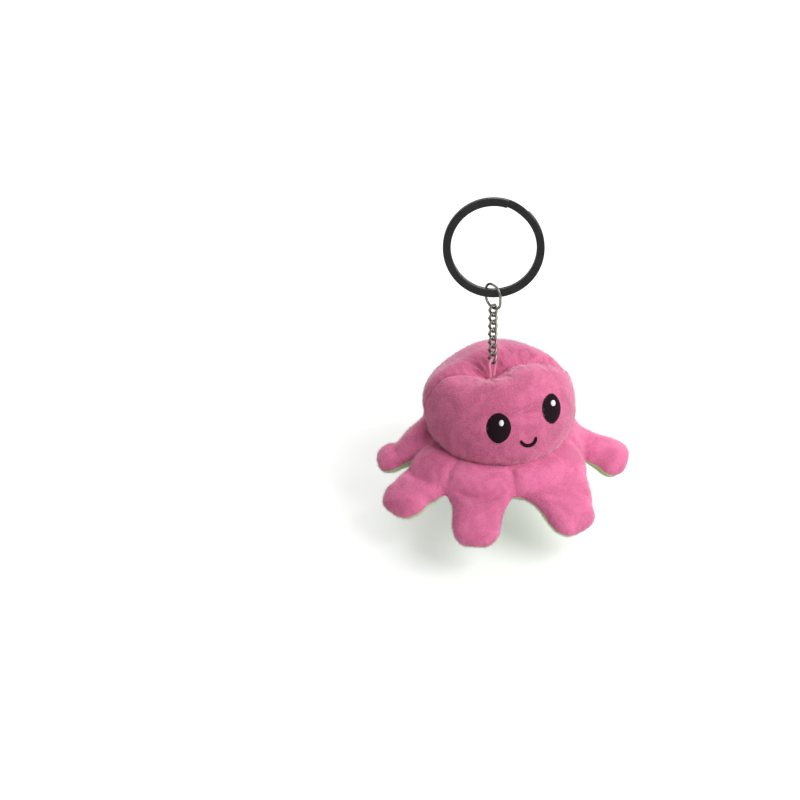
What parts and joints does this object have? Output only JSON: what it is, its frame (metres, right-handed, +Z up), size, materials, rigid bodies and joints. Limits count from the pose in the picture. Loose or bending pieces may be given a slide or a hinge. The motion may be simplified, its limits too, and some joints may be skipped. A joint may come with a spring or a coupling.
{
  "type": "reversible plush octopus keychain",
  "caption": "Palm-sized reversible octopus plush with a cavity for turning it inside out, hung by a fabric loop on a curb chain and split ring.",
  "frame": {"origin": "the hang point on the toy's plumb line, level with the inside of the split ring's top", "axes": "+Z up along the hanging chain, -Y where the toy's outer face looks, +X to the right of someone who looks at that face"},
  "size_m": [0.0816, 0.0816, 0.092],
  "materials": {
    "gunmetal_steel": "glossy black nickel",
    "pewter_steel": "tarnished satin",
    "pink_minky": "short cut pile",
    "green_minky": "short cut pile",
    "polyester_fibre": "loose fibre",
    "black_thread": "satin stitch",
    "white_thread": "satin stitch"
  },
  "bodies": {
    "ring": {"split_ring": "gunmetal_steel"},
    "jump_ring": {"jump_ring": "pewter_steel"},
    "link_1": {"chain_link_1": "pewter_steel"},
    "link_2": {"chain_link_2": "pewter_steel"},
    "link_3": {"chain_link_3": "pewter_steel"},
    "link_4": {"chain_link_4": "pewter_steel"},
    "link_5": {"chain_link_5": "pewter_steel"},
    "link_6": {"chain_link_6": "pewter_steel"},
    "link_7": {"chain_link_7": "pewter_steel"},
    "toy": {"hanging_loop": "pink_minky", "pink_head_front": "pink_minky", "pink_head_back": "pink_minky", "green_head_front": "green_minky", "green_head_back": "green_minky", "head_fill": "polyester_fibre", "pink_skirt": "pink_minky", "green_skirt": "green_minky", "skirt_fill": "polyester_fibre", "happy_left_eye": "black_thread", "happy_right_eye": "black_thread", "happy_left_glint": "white_thread", "happy_right_glint": "white_thread", "happy_smile": "black_thread", "angry_left_eye": "black_thread", "angry_right_eye": "black_thread", "angry_left_glint": "white_thread", "angry_right_glint": "white_thread", "angry_frown": "black_thread"},
    "arm_1": {"arm_1_pink_skin": "pink_minky", "arm_1_green_skin": "green_minky", "arm_1_fill": "polyester_fibre"},
    "arm_2": {"arm_2_pink_skin": "pink_minky", "arm_2_green_skin": "green_minky", "arm_2_fill": "polyester_fibre"},
    "arm_3": {"arm_3_pink_skin": "pink_minky", "arm_3_green_skin": "green_minky", "arm_3_fill": "polyester_fibre"},
    "arm_4": {"arm_4_pink_skin": "pink_minky", "arm_4_green_skin": "green_minky", "arm_4_fill": "polyester_fibre"},
    "arm_5": {"arm_5_pink_skin": "pink_minky", "arm_5_green_skin": "green_minky", "arm_5_fill": "polyester_fibre"},
    "arm_6": {"arm_6_pink_skin": "pink_minky", "arm_6_green_skin": "green_minky", "arm_6_fill": "polyester_fibre"},
    "arm_7": {"arm_7_pink_skin": "pink_minky", "arm_7_green_skin": "green_minky", "arm_7_fill": "polyester_fibre"},
    "arm_8": {"arm_8_pink_skin": "pink_minky", "arm_8_green_skin": "green_minky", "arm_8_fill": "polyester_fibre"}
  },
  "joints": [
    {"name": "jump_ring_swing", "type": "hinge", "parent": "ring", "child": "jump_ring", "pos_m": [0, 0, -0.02481], "axis": [0.9063, -0.4226, 0], "range_deg": [-60, 60]},
    {"name": "link_1_swing", "type": "hinge", "parent": "jump_ring", "child": "link_1", "pos_m": [0, 0, -0.03013], "axis": [0.342, -0.9397, 0], "range_deg": [-60, 60]},
    {"name": "link_2_swing", "type": "hinge", "parent": "link_1", "child": "link_2", "pos_m": [0, 0, -0.03198], "axis": [0.9397, 0.342, 0], "range_deg": [-60, 60]},
    {"name": "link_3_swing", "type": "hinge", "parent": "link_2", "child": "link_3", "pos_m": [0, 0, -0.03583], "axis": [-0.342, 0.9397, 0], "range_deg": [-60, 60]},
    {"name": "link_4_swing", "type": "hinge", "parent": "link_3", "child": "link_4", "pos_m": [0, 0, -0.03768], "axis": [-0.9397, -0.342, 0], "range_deg": [-60, 60]},
    {"name": "link_5_swing", "type": "hinge", "parent": "link_4", "child": "link_5", "pos_m": [0, 0, -0.04153], "axis": [0.342, -0.9397, 0], "range_deg": [-60, 60]},
    {"name": "link_6_swing", "type": "hinge", "parent": "link_5", "child": "link_6", "pos_m": [0, 0, -0.04338], "axis": [0.9397, 0.342, 0], "range_deg": [-60, 60]},
    {"name": "link_7_swing", "type": "hinge", "parent": "link_6", "child": "link_7", "pos_m": [0, 0, -0.04723], "axis": [-0.342, 0.9397, 0], "range_deg": [-60, 60]},
    {"name": "toy_twist", "type": "hinge", "parent": "link_7", "child": "toy", "pos_m": [0, 0, -0.04898], "axis": [0, 0, 1], "range_deg": [-30, 30]},
    {"name": "arm_1_fold", "type": "hinge", "parent": "toy", "child": "arm_1", "pos_m": [-0.01431, -0.0229, -0.07933], "axis": [-0.848, 0.5299, 0], "range_deg": [-35, 95], "stiffness_Nm_per_rad": 0.004},
    {"name": "arm_2_fold", "type": "hinge", "parent": "toy", "child": "arm_2", "pos_m": [0.00607, -0.02631, -0.07933], "axis": [-0.9744, -0.225, 0], "range_deg": [-35, 95], "stiffness_Nm_per_rad": 0.004},
    {"name": "arm_3_fold", "type": "hinge", "parent": "toy", "child": "arm_3", "pos_m": [0.0229, -0.01431, -0.07933], "axis": [-0.5299, -0.848, 0], "range_deg": [-35, 95], "stiffness_Nm_per_rad": 0.004},
    {"name": "arm_4_fold", "type": "hinge", "parent": "toy", "child": "arm_4", "pos_m": [0.02631, 0.00607, -0.07933], "axis": [0.225, -0.9744, 0], "range_deg": [-35, 95], "stiffness_Nm_per_rad": 0.004},
    {"name": "arm_5_fold", "type": "hinge", "parent": "toy", "child": "arm_5", "pos_m": [0.01431, 0.0229, -0.07933], "axis": [0.848, -0.5299, 0], "range_deg": [-35, 95], "stiffness_Nm_per_rad": 0.004},
    {"name": "arm_6_fold", "type": "hinge", "parent": "toy", "child": "arm_6", "pos_m": [-0.00607, 0.02631, -0.07933], "axis": [0.9744, 0.225, 0], "range_deg": [-35, 95], "stiffness_Nm_per_rad": 0.004},
    {"name": "arm_7_fold", "type": "hinge", "parent": "toy", "child": "arm_7", "pos_m": [-0.0229, 0.01431, -0.07933], "axis": [0.5299, 0.848, 0], "range_deg": [-35, 95], "stiffness_Nm_per_rad": 0.004},
    {"name": "arm_8_fold", "type": "hinge", "parent": "toy", "child": "arm_8", "pos_m": [-0.02631, -0.00607, -0.07933], "axis": [-0.225, 0.9744, 0], "range_deg": [-35, 95], "stiffness_Nm_per_rad": 0.004}
  ]
}
